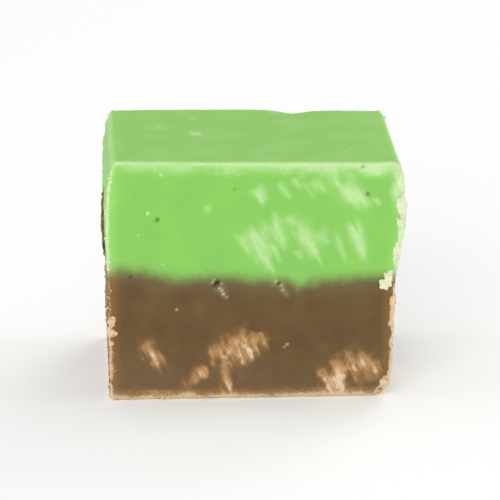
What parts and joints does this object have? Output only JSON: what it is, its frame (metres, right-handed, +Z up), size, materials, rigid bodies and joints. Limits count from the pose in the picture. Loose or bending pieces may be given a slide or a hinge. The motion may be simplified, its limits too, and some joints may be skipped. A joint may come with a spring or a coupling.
{
  "type": "chocolate fudge",
  "caption": "Knife-cut block of two-layer fudge: a green mint layer set on a brown chocolate layer, with bulged sides and torn sugary edges.",
  "frame": {"origin": "middle of the flat base, under the middle of the block's box", "axes": "+Z up through the layers, +X along the width from left to right, the front cut face looks along -Y"},
  "size_m": [0.031, 0.0224, 0.026],
  "materials": {
    "mint_fudge": "soft semi-matte green fudge, with whitish drag marks of the knife and pale grainy edges",
    "chocolate_fudge": "soft semi-matte brown fudge, with tan sugary tears and a grainy tan base edge"
  },
  "bodies": {
    "root": {"mint_layer": "mint_fudge", "chocolate_layer": "chocolate_fudge"}
  },
  "joints": []
}
